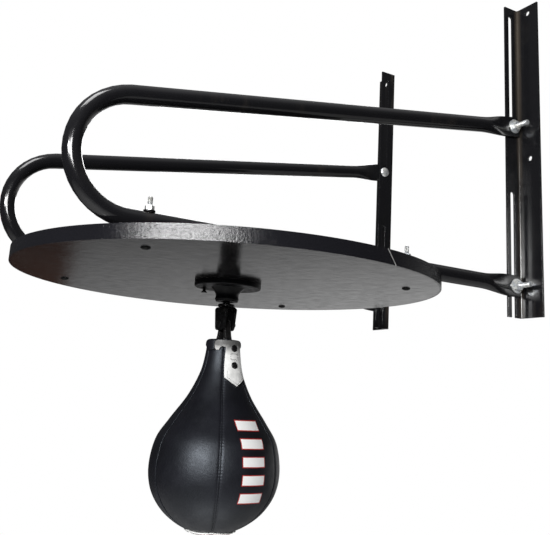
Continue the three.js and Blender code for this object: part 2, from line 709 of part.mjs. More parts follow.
function bladderGeometry() {
  const clear = CASING_THICK + 0.6;
  const outside = below(bagCurve(-clear, SKIN_STEPS), BLADDER_TOP);
  const inside = below(bagCurve(-clear - BLADDER_THICK, SKIN_STEPS), BLADDER_TOP - BLADDER_THICK);
  const hole = VALVE_RADIUS + GAP;
  return turned([
    ...[...outside].reverse(), [hole, BLADDER_TOP], [hole, BLADDER_TOP - BLADDER_THICK], ...inside,
  ], 24);
}

function valveGeometry() {
  const top = BLADDER_TOP + 12;
  return turned([
    [0, BLADDER_TOP - 6], [VALVE_RADIUS, BLADDER_TOP - 6], [VALVE_RADIUS, BLADDER_TOP + GAP],
    [7, BLADDER_TOP + GAP], [7, BLADDER_TOP + 1.5], [VALVE_RADIUS, BLADDER_TOP + 2.2], [3.2, top], [0, top],
  ], 14);
}

function patchGeometry() {
  const profile = bagCurve(GAP, SKIN_STEPS);
  const lower = bagCurve(GAP + PATCH_THICK, SKIN_STEPS);
  const inside = profile.filter(([radius, z]) => z < -300 && radius < PATCH_RADIUS);
  const outside = lower.filter(([radius, z]) => z < -300 && radius < PATCH_RADIUS);
  return turned([...[...outside].reverse(), ...inside], 28);
}

// Assembly -----------------------------------------------------------------------------------
function addSide(sideName, side) {
  place(`${sideName}_upright`, uprightGeometry(side), blackPaint);
  place(`${sideName}_arm`, armGeometry(side), blackPaint);
  addArmFasteners(sideName, 'lower', side, LEG_Z);
  addArmFasteners(sideName, 'upper', side, UPPER_BOLT_Z);
  addBoardFasteners(sideName, 'front', side, -BOARD_BOLT_OFFSET);
  addBoardFasteners(sideName, 'rear', side, BOARD_BOLT_OFFSET);
}

function addSwivel() {
  fix('swivel_housing', housingGeometry(), castIron);
  addScrews();
  hang('bearing_cup', cupGeometry(), blackSteel);
  hang('ball_stud', ballStudGeometry(), blackSteel);
  hang('stud_collar', collarGeometry(), blackSteel);
  hang('clevis', clevisGeometry(), blackSteel);
  hang('clevis_pin', pinGeometry(), blackSteel, [0, 0, PIN_Z]);
  hang('pin_nut', pinNutGeometry(), blackSteel);
}

function addBag() {
  hang('hanging_loop', loopGeometry(), webbing);
  hang('bag_casing', casingGeometry(), blackLeather);
  for (const [name, side] of [['front', 1], ['rear', -1]]) {
    hang(`${name}_tab`, tabGeometry(side), paleLeather);
    hang(`${name}_rivet_upper`, rivetGeometry(side, RIVETS_Z[0]), blackSteel);
    hang(`${name}_rivet_lower`, rivetGeometry(side, RIVETS_Z[1]), blackSteel);
  }
  hang('bladder', bladderGeometry(), latex);
  hang('bladder_valve', valveGeometry(), latex);
  hang('bottom_patch', patchGeometry(), paleLeather);
}

addSide('right', 1);
addSide('left', -1);
const boardGroup = new THREE.Group();
boardGroup.position.set(0, BOARD_Y, 0);
model.add(boardGroup);
place('board', boardGeometry(), laminate, [0, 0, 0], [0, 0, 0], boardGroup);
place('rim_band', bandGeometry(), edgeBand, [0, 0, 0], [0, 0, 0], boardGroup);
addSwivel();
addBag();

export default model;
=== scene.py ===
"""Looks for the speed bag platform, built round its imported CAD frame. Metres, +Z up, wall at y = 0."""
import json
import math

import bmesh
import bpy
import numpy as np
from mathutils import Matrix, Vector


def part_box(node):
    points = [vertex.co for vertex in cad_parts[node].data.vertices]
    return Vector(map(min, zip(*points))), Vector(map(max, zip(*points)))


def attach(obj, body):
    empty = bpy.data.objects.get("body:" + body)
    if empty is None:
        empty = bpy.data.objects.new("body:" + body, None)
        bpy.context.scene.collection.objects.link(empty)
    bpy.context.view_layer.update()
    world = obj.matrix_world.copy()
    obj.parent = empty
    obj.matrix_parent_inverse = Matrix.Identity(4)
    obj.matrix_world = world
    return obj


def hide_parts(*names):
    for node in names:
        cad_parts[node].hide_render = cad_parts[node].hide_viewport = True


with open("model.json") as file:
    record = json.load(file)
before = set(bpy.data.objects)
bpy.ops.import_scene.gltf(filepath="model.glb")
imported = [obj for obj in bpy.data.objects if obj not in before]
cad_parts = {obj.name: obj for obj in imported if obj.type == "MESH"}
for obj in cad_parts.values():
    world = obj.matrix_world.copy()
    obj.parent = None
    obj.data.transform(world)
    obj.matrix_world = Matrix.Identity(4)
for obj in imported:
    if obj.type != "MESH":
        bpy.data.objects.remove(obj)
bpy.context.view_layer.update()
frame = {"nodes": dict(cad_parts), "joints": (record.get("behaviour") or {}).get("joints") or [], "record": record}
NODES = frame["nodes"]
RECORD = frame["record"]


# Places worked out from the frame --------------------------------------------------------------
def joint(name):
    return next(row for row in frame["joints"] if row["name"] == name)


BOARD_LOW, BOARD_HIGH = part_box("board")
BOARD_CENTRE = (BOARD_LOW + BOARD_HIGH) / 2
BAG_LOW, BAG_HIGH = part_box("bag_casing")
BAG_AXIS = Vector(((BAG_LOW.x + BAG_HIGH.x) / 2, (BAG_LOW.y + BAG_HIGH.y) / 2, 0))
BAG_HEIGHT = BAG_HIGH.z - BAG_LOW.z
BAG_RADIUS = (BAG_HIGH.x - BAG_LOW.x) / 2
SWING_AXIS = Vector(joint("bag_swing")["axis"]).normalized()
TAB_HEADING = math.atan2(-SWING_AXIS.x, SWING_AXIS.y)

# Camera, lights and stage ----------------------------------------------------------------------
CAMERA_FROM_BOARD = Vector((0.9986, -0.4974, -0.1722))
CAMERA_YAW = math.radians(59.95)
CAMERA_PITCH = math.radians(13.4)
CAMERA_ROLL = math.radians(3.39)
LENS_MM = 50.27
SENSOR_MM = 36
LENS_SHIFT = (-0.0084, -0.0899)
FLOOR_DEPTH = 1.85               # the board hangs this far above the floor
FLOOR_RADIUS = 4.0

BAND_SEAM_ANGLE = 0.21           # of the rim band's joint, from +X
BAND_SEAM_SLANT = 0.84           # how far it leans round the rim for each unit of height
BAND_SEAM_WIDTH = 0.0011


def add_camera():
    ahead = Vector((
        -math.sin(CAMERA_YAW) * math.cos(CAMERA_PITCH),
        math.cos(CAMERA_YAW) * math.cos(CAMERA_PITCH),
        math.sin(CAMERA_PITCH),
    ))
    level = Vector((math.cos(CAMERA_YAW), math.sin(CAMERA_YAW), 0))
    upward = level.cross(ahead)
    right = math.cos(CAMERA_ROLL) * level + math.sin(CAMERA_ROLL) * upward
    up = math.cos(CAMERA_ROLL) * upward - math.sin(CAMERA_ROLL) * level
    data = bpy.data.cameras.new("camera")
    data.lens = LENS_MM
    data.sensor_width = SENSOR_MM
    data.shift_x, data.shift_y = LENS_SHIFT
    data.clip_start = 0.02
    camera = bpy.data.objects.new("camera", data)
    bpy.context.scene.collection.objects.link(camera)
    turn = Matrix((right, up, -ahead)).transposed().to_4x4()
    camera.matrix_world = Matrix.Translation(BOARD_CENTRE + CAMERA_FROM_BOARD) @ turn
    bpy.context.scene.camera = camera


def add_area_light(name, azimuth, elevation, distance, size, power, target):
    """A rectangular soft light seen from the target at that azimuth from +X and that elevation."""
    data = bpy.data.lights.new(name, "AREA")
    data.shape = "RECTANGLE"
    data.size, data.size_y = size
    data.energy = power
    light = bpy.data.objects.new(name, data)
    bpy.context.scene.collection.objects.link(light)
    azimuth, elevation = math.radians(azimuth), math.radians(elevation)
    towards = Vector((
        math.cos(azimuth) * math.cos(elevation),
        math.sin(azimuth) * math.cos(elevation),
        math.sin(elevation),
    ))
    light.location = target + towards * distance
    light.rotation_euler = towards.to_track_quat("Z", "Y").to_euler()


def add_lights():
    bag_middle = BAG_AXIS + Vector((0, 0, -0.1))
    rim_front = BOARD_CENTRE + Vector((0.25, -0.18, 0))
    for row in (
        ("key", -36, 14, 1.9, (0.5, 0.5), 21, bag_middle),
        ("rim_strip", -58, 12, 2.4, (0.9, 0.4), 62, rim_front),
        ("overhead", -70, 62, 2.4, (1.2, 0.9), 26, BOARD_CENTRE),
        ("side", 150, 25, 2.4, (1.0, 1.0), 14, BOARD_CENTRE),
        ("low_fill", -30, -80, 1.7, (0.8, 0.8), 4, bag_middle),
    ):
        add_area_light(*row)


# The look round the object in light and reflections: grey by height, and one pale far wall.
WORLD_GREYS = [(0.0, 0.05), (0.46, 0.035), (0.56, 0.03), (0.8, 0.10), (1.0, 0.4)]
WALL_TOWARDS = Vector((-0.47, 0.88, 0))
WALL_SIDE_FADE = (0.58, 0.61)    # cosines of the angles where the wall starts and is full
WALL_LOW_FADE = (-0.30, -0.11)   # its lower and upper edges, as heights on a unit sphere
WALL_HIGH_FADE = (0.22, 0.02)
# The wall's colour by the cosine of the angle from its direction: dark wood, then paler plaster.
WALL_TONES = [
    (0.60, (0.045, 0.022, 0.016)), (0.668, (0.06, 0.030, 0.022)), (0.680, (0.26, 0.26, 0.262)),
    (0.80, (0.40, 0.40, 0.402)), (0.96, (0.74, 0.74, 0.74)),
]


def add_world():
    """White where it is seen directly, and a dark studio with one pale wall in light and reflections."""
    world = bpy.data.worlds.new("studio")
    bpy.context.scene.world = world
    world.use_nodes = True
    tree = world.node_tree
    tree.nodes.clear()
    link = tree.links.new

    def faded(value, ends):
        fade = tree.nodes.new("ShaderNodeMapRange")
        fade.interpolation_type = "SMOOTHSTEP"
        fade.inputs["From Min"].default_value, fade.inputs["From Max"].default_value = ends
        link(value, fade.inputs["Value"])
        return fade.outputs["Result"]

    def times(a, b):
        product = tree.nodes.new("ShaderNodeMath")
        product.operation = "MULTIPLY"
        link(a, product.inputs[0])
        link(b, product.inputs[1])
        return product.outputs[0]

    def ramp_of(value, stops):
        ramp = tree.nodes.new("ShaderNodeValToRGB")
        ramp.color_ramp.elements[0].position = stops[0][0]
        ramp.color_ramp.elements[1].position = stops[-1][0]
        for position, _ in stops[1:-1]:
            ramp.color_ramp.elements.new(position)
        for element, (_, colour) in zip(ramp.color_ramp.elements, stops):
            element.color = (*colour, 1)
        link(value, ramp.inputs["Fac"])
        return ramp.outputs["Color"]

    place = tree.nodes.new("ShaderNodeTexCoord").outputs["Generated"]
    parts = tree.nodes.new("ShaderNodeSeparateXYZ")
    link(place, parts.inputs[0])
    height = parts.outputs["Z"]

    level = tree.nodes.new("ShaderNodeMapRange")
    level.inputs["From Min"].default_value = -1
    link(height, level.inputs["Value"])
    greys = [(position, (grey, grey, grey * 1.02)) for position, grey in WORLD_GREYS]
    plain = ramp_of(level.outputs["Result"], greys)
    facing = tree.nodes.new("ShaderNodeVectorMath")
    facing.operation = "DOT_PRODUCT"
    facing.inputs[1].default_value = WALL_TOWARDS
    link(place, facing.inputs[0])
    wall = times(faded(height, WALL_LOW_FADE), faded(height, WALL_HIGH_FADE))
    wall = times(wall, faded(facing.outputs["Value"], WALL_SIDE_FADE))
    around = tree.nodes.new("ShaderNodeMix")
    around.data_type = "RGBA"
    link(wall, around.inputs[0])
    link(plain, around.inputs[6])
    link(ramp_of(facing.outputs["Value"], WALL_TONES), around.inputs[7])
    lit = tree.nodes.new("ShaderNodeBackground")
    link(around.outputs[2], lit.inputs["Color"])
    seen = tree.nodes.new("ShaderNodeBackground")
    seen.inputs["Color"].default_value = (1, 1, 1, 1)
    choice = tree.nodes.new("ShaderNodeMixShader")
    link(tree.nodes.new("ShaderNodeLightPath").outputs["Is Camera Ray"], choice.inputs["Fac"])
    link(lit.outputs[0], choice.inputs[1])
    link(seen.outputs[0], choice.inputs[2])
    link(choice.outputs[0], tree.nodes.new("ShaderNodeOutputWorld").inputs["Surface"])


def add_stage():
    bpy.ops.mesh.primitive_circle_add(
        vertices=96, radius=FLOOR_RADIUS, fill_type="NGON",
        location=(BOARD_CENTRE.x, BOARD_CENTRE.y, -FLOOR_DEPTH),
    )
    floor = bpy.context.object
    floor.name = "floor"
    floor.data.materials.append(Surface("pale_floor", (0.8, 0.8, 0.79), 0.6).material)


# Material building -----------------------------------------------------------------------------
class Surface:
    """A Principled material and short ways to add the nodes that give it its detail."""

    def __init__(self, name, colour, roughness, **sockets):
        self.material = bpy.data.materials.new(name)
        self.material.use_nodes = True
        self.tree = self.material.node_tree
        self.shader = self.tree.nodes["Principled BSDF"]
        self.shader.inputs["Base Color"].default_value = (*colour, 1)
        self.shader.inputs["Roughness"].default_value = roughness
        for socket, value in sockets.items():
            self.shader.inputs[socket.replace("_", " ")].default_value = value
        self.place = self.tree.nodes.new("ShaderNodeTexCoord").outputs["Object"]

    def node(self, kind, inputs=None, **settings):
        node = self.tree.nodes.new(kind)
        for key, value in settings.items():
            setattr(node, key, value)
        for key, value in (inputs or {}).items():
            self.feed(node.inputs[key], value)
        return node

    def feed(self, socket, value):
        if isinstance(value, bpy.types.NodeSocket):
            self.tree.links.new(value, socket)
        else:
            socket.default_value = value

    def set(self, socket, value):
        self.feed(self.shader.inputs[socket], value)

    def math(self, operation, a, b=0.0):
        return self.node("ShaderNodeMath", {0: a, 1: b}, operation=operation).outputs[0]

    def stretched(self, scale):
        return self.node("ShaderNodeMapping", {"Vector": self.place, "Scale": scale}).outputs[0]

    def noise(self, scale, detail=3.0, place=None, distortion=0.0):
        inputs = {"Vector": place or self.place, "Scale": scale, "Detail": detail, "Distortion": distortion}
        return self.node("ShaderNodeTexNoise", inputs).outputs["Fac"]

    def cells(self, scale, feature="F1", place=None):
        inputs = {"Vector": place or self.place, "Scale": scale}
        return self.node("ShaderNodeTexVoronoi", inputs, feature=feature).outputs["Distance"]

    def remap(self, value, low, high, to_low=0.0, to_high=1.0):
        inputs = {"Value": value, "From Min": low, "From Max": high, "To Min": to_low, "To Max": to_high}
        return self.node("ShaderNodeMapRange", inputs).outputs["Result"]

    def blend(self, factor, a, b):
        """The colour a where factor is 0 and b where it is 1."""
        mix = self.node("ShaderNodeMix", data_type="RGBA")
        self.feed(mix.inputs[0], factor)
        for socket, colour in ((mix.inputs[6], a), (mix.inputs[7], b)):
            self.feed(socket, colour if isinstance(colour, bpy.types.NodeSocket) else (*colour, 1))
        return mix.outputs[2]

    def attribute(self, name):
        return self.node("ShaderNodeAttribute", attribute_name=name).outputs["Fac"]

    def bump(self, height, distance, strength=1.0, edge=0.0):
        """Relief of that depth in metres, over edges rounded off by a radius of edge."""
        inputs = {"Height": height, "Distance": distance, "Strength": strength}
        if edge:
            inputs["Normal"] = self.node("ShaderNodeBevel", {"Radius": edge}, samples=4).outputs[0]
        self.set("Normal", self.node("ShaderNodeBump", inputs).outputs[0])


# Materials -------------------------------------------------------------------------------------
def painted_steel(name, edge, gloss, peel, corner=None):
    """Gloss black paint over steel. gloss is its roughness, from and to, and peel its orange peel.

    corner is how far from x = 0 the inside corner is, along which the colour gets a lighter brown streak.
    """
    black = (0.006, 0.006, 0.007)
    surface = Surface(name, black, gloss[0], Coat_Weight=0.2, Coat_Roughness=0.05)
    streaks = surface.noise(26, 5, surface.stretched((1, 1, 0.12)), 0.6)
    patches = surface.noise(9, 3)
    brown_marks = surface.math("MULTIPLY", surface.remap(streaks, 0.56, 0.74), surface.remap(patches, 0.45, 0.65))
    brown_marks = surface.math("MULTIPLY", brown_marks, 0.15)
    if corner is not None:
        x, y, _ = surface.node("ShaderNodeSeparateXYZ", {0: surface.place}).outputs
        near = surface.math(
            "MULTIPLY", surface.remap(surface.math("ABSOLUTE", x), corner + 0.012, corner + 0.003),
            surface.remap(y, -0.011, -0.004),
        )
        # A lighter brown streak down the inside corner, put in the base colour.
        lighter_marks = surface.math("MULTIPLY", near, surface.remap(streaks, 0.44, 0.64))
        brown_marks = surface.math("MAXIMUM", brown_marks, surface.math("MULTIPLY", lighter_marks, 0.45))
    surface.set("Base Color", surface.blend(brown_marks, black, (0.13, 0.105, 0.08)))
    surface.set("Roughness", surface.remap(surface.noise(60, 4), 0.3, 0.7, *gloss))
    relief = surface.math("ADD", surface.noise(260, 2), surface.math("MULTIPLY", surface.noise(40, 2), 2.0))
    surface.bump(relief, peel, 0.5, edge)
    return surface.material


def zinc_plate(name="zinc_plate", thread=None, painted=None):
    """Bright zinc with fine tool marks.

    thread is (axis, where along it the thread starts, pitch), and painted is the height that the
    black paint reaches up to.
    """
    surface = Surface(name, (0.6, 0.61, 0.62), 0.3, Metallic=0.72)
    cast = surface.noise(130, 3)
    bright = surface.blend(surface.remap(cast, 0.35, 0.65), (0.78, 0.78, 0.74), (0.58, 0.61, 0.65))
    surface.set("Base Color", bright)
    surface.set("Roughness", surface.remap(surface.noise(400, 4), 0.3, 0.7, 0.22, 0.44))
    marks = surface.noise(900, 2)
    where = surface.node("ShaderNodeSeparateXYZ", {0: surface.place}).outputs
    if painted is not None:
        covered = surface.math("LESS_THAN", where[2], painted)
        surface.set("Base Color", surface.blend(covered, bright, (0.003, 0.003, 0.003)))
        surface.set("Metallic", surface.remap(covered, 0, 1, 0.72, 0.0))
        surface.set("Specular IOR Level", surface.remap(covered, 0, 1, 0.5, 0.12))
    if thread is None:
        surface.bump(marks, 0.00004, 0.5, 0.0004)
        return surface.material
    axis, start, pitch = thread
    along = surface.math("ABSOLUTE", where[axis])
    ridge = surface.math("PINGPONG", along, pitch / 2)
    ridge = surface.math("MULTIPLY", ridge, surface.math("GREATER_THAN", along, start))
    ridge = surface.math("DIVIDE", ridge, pitch / 2)
    relief = surface.math("ADD", ridge, surface.math("MULTIPLY", marks, 0.06))
    surface.bump(relief, pitch * 0.45, 1.0)
    return surface.material


def black_oxide(name="black_oxide"):
    surface = Surface(name, (0.02, 0.02, 0.021), 0.34, Metallic=0.7)
    lighter_marks = surface.remap(surface.noise(90, 4), 0.56, 0.72)
    surface.set("Base Color", surface.blend(lighter_marks, (0.018, 0.018, 0.019), (0.07, 0.068, 0.064)))
    surface.set("Roughness", surface.remap(surface.noise(220, 3), 0.3, 0.7, 0.24, 0.42))
    surface.bump(surface.noise(500, 3), 0.00008, 0.6, 0.0006)
    return surface.material


def cast_paint(name="cast_paint"):
    """A sand casting under black enamel."""
    surface = Surface(name, (0.004, 0.004, 0.005), 0.4, Specular_IOR_Level=0.15)
    surface.set("Roughness", surface.remap(surface.noise(150, 3), 0.3, 0.7, 0.3, 0.5))
    grit = surface.math("ADD", surface.noise(420, 4), surface.noise(90, 2))
    surface.bump(grit, 0.00022, 0.7, 0.0008)
    return surface.material


def board_laminate(name="board_laminate"):
    """Hard black laminate: almost a mirror, with a fine hammered ripple and faint dull patches."""
    surface = Surface(name, (0.010, 0.010, 0.011), 0.12)
    dull = surface.remap(surface.noise(7, 5), 0.35, 0.7)
    surface.set("Base Color", surface.blend(dull, (0.008, 0.008, 0.009), (0.022, 0.021, 0.020)))
    surface.set("Roughness", surface.remap(surface.noise(60, 4), 0.3, 0.7, 0.10, 0.2))
    ripple = surface.math("ADD", surface.noise(190, 3), surface.math("MULTIPLY", surface.noise(45, 3), 1.6))
    surface.bump(ripple, 0.00022, 0.55)
    return surface.material


def edge_banding(name="edge_banding"):
    """Pebbled black banding, with a skived joint that shows as a pale slanting line."""
    surface = Surface(name, (0.006, 0.006, 0.008), 0.17)
    flattened = surface.stretched((1, 1, 1.8))
    pebbles = surface.cells(380, "SMOOTH_F1", flattened)
    fine = surface.cells(1000, "F1", flattened)
    relief = surface.math("ADD", pebbles, surface.math("MULTIPLY", fine, 0.35))
    relief = surface.math("ADD", relief, surface.math("MULTIPLY", surface.noise(700, 3, flattened), 0.9))
    surface.bump(relief, 0.00020, 1.0)
    x, y, z = surface.node("ShaderNodeSeparateXYZ", {0: surface.place}).outputs
    angle = surface.math("ARCTAN2", surface.math("SUBTRACT", y, BOARD_CENTRE.y), x)
    along = surface.math("MULTIPLY", surface.math("SUBTRACT", angle, BAND_SEAM_ANGLE), BOARD_HIGH.x)
    slant = surface.math("MULTIPLY", surface.math("SUBTRACT", z, BOARD_CENTRE.z), BAND_SEAM_SLANT)
    apart = surface.math("ABSOLUTE", surface.math("ADD", along, slant))
    line = surface.remap(apart, BAND_SEAM_WIDTH, BAND_SEAM_WIDTH * 0.6)
    surface.set("Base Color", surface.blend(line, (0.007, 0.007, 0.009), (0.34, 0.34, 0.33)))
    return surface.material


def black_leather(name="black_leather"):
    surface = Surface(
        name, (0.004, 0.004, 0.006), 0.44, Specular_IOR_Level=0.42, Specular_Tint=(0.82, 0.9, 1.0, 1),
    )
    surface.set("Base Color", surface.blend(
        surface.remap(surface.noise(18, 4), 0.35, 0.7), (0.0035, 0.0035, 0.005), (0.007, 0.007, 0.010),
    ))
    surface.set("Roughness", surface.remap(surface.noise(70, 4), 0.3, 0.7, 0.40, 0.50))
    grain = surface.math("MULTIPLY", surface.cells(1100), 0.8)
    grain = surface.math("ADD", grain, surface.noise(300, 5))
    surface.bump(grain, 0.00022, 0.6)
    return surface


COLLAR_SHADE_HEIGHTS = (-0.101, -0.087)   # from the plain leather up to the tab's top near the neck, painted dark as shade


def pale_leather(name="pale_leather"):
    surface = Surface(name, (0.5, 0.5, 0.48), 0.5)
    mottle = surface.remap(surface.noise(120, 5), 0.3, 0.72)
    unshaded_colour = surface.blend(mottle, (0.62, 0.62, 0.61), (0.84, 0.84, 0.825))
    height = surface.node("ShaderNodeSeparateXYZ", {0: surface.place}).outputs[2]
    # The tab's top near the neck is painted dark as shade, with a ragged lower edge.
    ragged = surface.math("ADD", height, surface.math("MULTIPLY", mottle, 0.006))
    painted_collar_shade = surface.remap(ragged, *COLLAR_SHADE_HEIGHTS)
    surface.set("Base Color", surface.blend(painted_collar_shade, unshaded_colour, (0.10, 0.10, 0.098)))
    surface.set("Roughness", surface.remap(surface.noise(200, 3), 0.3, 0.7, 0.42, 0.6))
    grain = surface.math("ADD", surface.math("MULTIPLY", surface.cells(1300), 0.8), surface.noise(420, 5))
    surface.bump(grain, 0.0002, 0.6)
    return surface.material


def strap_leather(name="strap_leather"):
    surface = Surface(name, (0.006, 0.006, 0.006), 0.8, Specular_IOR_Level=0.2)
    surface.set("Base Color", surface.blend(
        surface.remap(surface.noise(240, 4), 0.3, 0.7), (0.004, 0.004, 0.004), (0.014, 0.013, 0.013),
    ))
    surface.bump(surface.math("ADD", surface.noise(700, 4), surface.cells(900)), 0.0002, 0.7, 0.0005)
    return surface.material


def sewing_thread(name, colour):
    surface = Surface(name, colour, 0.55, Sheen_Weight=0.3)
    surface.bump(surface.noise(2500, 2), 0.0001, 0.6)
    return surface.material


def natural_latex(name="natural_latex"):
    surface = Surface(name, (0.62, 0.43, 0.22), 0.45, Subsurface_Weight=0.15)
    surface.set("Base Color", surface.blend(surface.noise(60, 3), (0.5, 0.33, 0.16), (0.7, 0.5, 0.28)))
    surface.bump(surface.noise(300, 3), 0.0001, 0.5)
    return surface.material


# CAD nodes -------------------------------------------------------------------------------------
SMOOTH_ANGLE = math.radians(33)
ARM_STUD = 0.020                 # bare thread past the nut
BOARD_STUD = 0.0115


def shade_smooth(node_object):
    """Rounds the shading of a CAD node across its gentle edges. Its points stay where they are."""
    mesh = node_object.data
    for attribute in ("custom_normal", "sharp_face"):
        if attribute in mesh.attributes:
            mesh.attributes.remove(mesh.attributes[attribute])
    points = np.empty(len(mesh.vertices) * 3)
    mesh.vertices.foreach_get("co", points)
    keys = [tuple(point) for point in np.round(points.reshape(-1, 3), 6)]
    facing = {}
    for polygon in mesh.polygons:
        for start, end in polygon.edge_keys:
            pair = tuple(sorted((keys[start], keys[end])))
            facing.setdefault(pair, []).append(polygon.normal.copy())
    sharp = []
    for edge in mesh.edges:
        start, end = edge.vertices
        normals = facing[tuple(sorted((keys[start], keys[end])))]
        sharp.append(len(normals) != 2 or normals[0].angle(normals[1], 0) > SMOOTH_ANGLE)
    layer = mesh.attributes.get("sharp_edge") or mesh.attributes.new("sharp_edge", "BOOLEAN", "EDGE")
    layer.data.foreach_set("value", sharp)
    weld = node_object.modifiers.new("weld", "WELD")
    weld.merge_threshold = 1e-6


def finish_node(name, material):
    node_object = NODES[name]
    node_object.data.materials.clear()
    node_object.data.materials.append(material)
    shade_smooth(node_object)


def finish_cad_nodes():
    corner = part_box("right_upright")[0].x
    upright_paint = painted_steel("upright_paint", 0.0009, (0.13, 0.26), 0.00010, corner)
    arm_paint = painted_steel("arm_paint", 0.0, (0.09, 0.2), 0.00005)
    zinc = zinc_plate()
    oxide = black_oxide()
    by_slot = {
        "upright_paint": upright_paint,
        "arm_paint": arm_paint,
        "zinc": zinc,
        "black_steel": oxide,
        "laminate": board_laminate(),
        "edge_band": edge_banding(),
        "housing_paint": cast_paint(),
    }
    for row in RECORD["subparts"]:
        if row["material_slot"] in by_slot:
            finish_node(row["node"], by_slot[row["material_slot"]])
    arm_stud_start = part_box("arm_bolt_right_upper")[1].x - ARM_STUD
    arm_thread = zinc_plate("zinc_arm_bolt", thread=(0, arm_stud_start, 0.00125))
    board_stud_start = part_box("board_bolt_right_front")[1].z - BOARD_STUD
    board_thread = zinc_plate("zinc_board_bolt", thread=(2, board_stud_start, 0.001), painted=0.0)
    for side in ("right", "left"):
        for end in ("upper", "lower"):
            finish_node(f"arm_bolt_{side}_{end}", arm_thread)
        for end in ("front", "rear"):
            finish_node(f"board_bolt_{side}_{end}", board_thread)


# Mesh building ---------------------------------------------------------------------------------
def add_mesh(name, vertices, faces, material, body, slot):
    mesh = bpy.data.meshes.new(name)
    mesh.from_pydata([tuple(v) for v in vertices], [], faces)
    mesh.validate()
    mesh.polygons.foreach_set("use_smooth", [True] * len(mesh.polygons))
    mesh.materials.append(material)
    piece = bpy.data.objects.new(name, mesh)
    bpy.context.scene.collection.objects.link(piece)
    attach(piece, body)
    return piece


def grid_faces(rows, columns, wrap, start=0):
    """Quads of a grid of points, row by row. wrap joins the last column to the first."""
    faces = []
    for row in range(rows - 1):
        for column in range(columns if wrap else columns - 1):
            after = (column + 1) % columns
            low, high = start + row * columns, start + (row + 1) * columns
            faces.append((low + column, low + after, high + after, high + column))
    return faces


# Bag -------------------------------------------------------------------------------------------
# Radius and depth below the mouth, as shares of the casing's half width and of its height.
BAG_PROFILE = [
    (0.256, 0.0), (0.273, 0.077), (0.334, 0.177), (0.501, 0.304), (0.746, 0.427), (0.930, 0.531),
    (1.0, 0.665), (0.947, 0.781), (0.774, 0.877), (0.523, 0.946), (0.278, 0.983), (0.0, 1.0),
]
SEAM_ANGLES = [math.radians(angle) for angle in (31, 95, 149, 211, 265, 329)]
SKIN = 0.003
PANEL_CROWN = 0.0011
SEAM_DEPTH = 0.0011
SEAM_WIDTH = 0.0019
PUCKER_DEPTH = 0.00022
PUCKER_PITCH = 0.0040
PUCKER_REACH = 0.0034
PATCH_RADIUS = 0.034
PATCH_THICK = 0.0018
PATCH_LIFT = 0.0001
PATCH_STITCH_INSET = 0.004
PATCH_STITCH_COUNT = 64
PIPING_RADIUS = 0.0006
PIPING_SINK = 0.0002
HEM_CORNER_TURN = math.radians(80)
SKIN_ROWS = 300


def bag_curve():
    """The casing's outline: arc length, radius, height and outward normal along a smooth curve."""
    knots = np.array(BAG_PROFILE) * (BAG_RADIUS, -BAG_HEIGHT) + (0, BAG_HIGH.z)
    points = []
    last = len(knots) - 1
    for index in range(last):
        before, start = knots[max(index - 1, 0)], knots[index]
        end, after = knots[index + 1], knots[min(index + 2, last)]
        for t in np.linspace(0, 1, 60, endpoint=False):
            pull_in, pull_out = (end - before) / 2, (after - start) / 2
            points.append(
                (2 * t**3 - 3 * t**2 + 1) * start + (t**3 - 2 * t**2 + t) * pull_in
                + (3 * t**2 - 2 * t**3) * end + (t**3 - t**2) * pull_out
            )
    points = np.array([*points, knots[-1]])
    steps = np.diff(points, axis=0)
    arc = np.concatenate([[0], np.cumsum(np.hypot(*steps.T))])
    slope = np.gradient(points, arc, axis=0)
    slope /= np.hypot(*slope.T)[:, None]
    return arc, points[:, 0], points[:, 1], -slope[:, 1], slope[:, 0]


ARC, RADIUS, HEIGHT, OUT_RADIAL, OUT_UP = bag_curve()


def along_bag(arc):
    """Radius, height and outward normal at an arc length from the mouth."""
    return [np.interp(arc, ARC, values) for values in (RADIUS, HEIGHT, OUT_RADIAL, OUT_UP)]


def patch_edge_arc():
    """The arc length where the underside has narrowed to the bottom patch's radius."""
    widest = RADIUS.argmax()
    return float(np.interp(-PATCH_RADIUS, -RADIUS[widest:], ARC[widest:]))


def seam_gap(angle):
    """The angle to the nearest seam, and half the angle of the panel that it is in."""
    turn = 2 * math.pi
    seams = np.array(SEAM_ANGLES)
    angle = np.mod(angle, turn)
    above = np.min(np.mod(seams - angle, turn))
    under = np.min(np.mod(angle - seams, turn))
    return min(above, under), (above + under) / 2


def skin_offset(angle, arc):
    """How far the leather stands off the plain outline: crowned panels, sunk and puckered seams."""
    gap, half = seam_gap(angle)
    radius = along_bag(arc)[0]
    distance = radius * gap
    crown = PANEL_CROWN * math.sin(math.pi / 2 * min(1, gap / half)) * min(1, radius / 0.05)
    groove = SEAM_DEPTH * math.exp(-((distance / SEAM_WIDTH) ** 2))
    reach = math.exp(-((distance / PUCKER_REACH) ** 2))
    pucker = PUCKER_DEPTH * reach * math.cos(2 * math.pi * arc / PUCKER_PITCH)
    fade = min(1, (ARC[-1] - arc) / 0.03)
    return (crown - groove + pucker) * fade


def bag_point(angle, arc, lift=0.0):
    radius, height, radial, up = along_bag(arc)
    offset = skin_offset(angle, arc) + lift
    reach = radius + radial * offset
    heading = angle + TAB_HEADING
    return BAG_AXIS + Vector((
        reach * math.cos(heading), reach * math.sin(heading), height + up * offset,
    ))


def panel_angles():
    """Angles round the bag, close together beside each seam and wider in the middle of a panel."""
    shares = np.array([0, 0.02, 0.045, 0.08, 0.12, 0.17, 0.24, 0.33, 0.44, 0.57, 0.71, 0.85])
    angles = []
    for start, end in zip(SEAM_ANGLES, [*SEAM_ANGLES[1:], SEAM_ANGLES[0] + 2 * math.pi]):
        half = (end - start) / 2
        angles += [start + share * half for share in shares]
        angles += [start + half]
        angles += [end - share * half for share in shares[:0:-1]]
    return angles


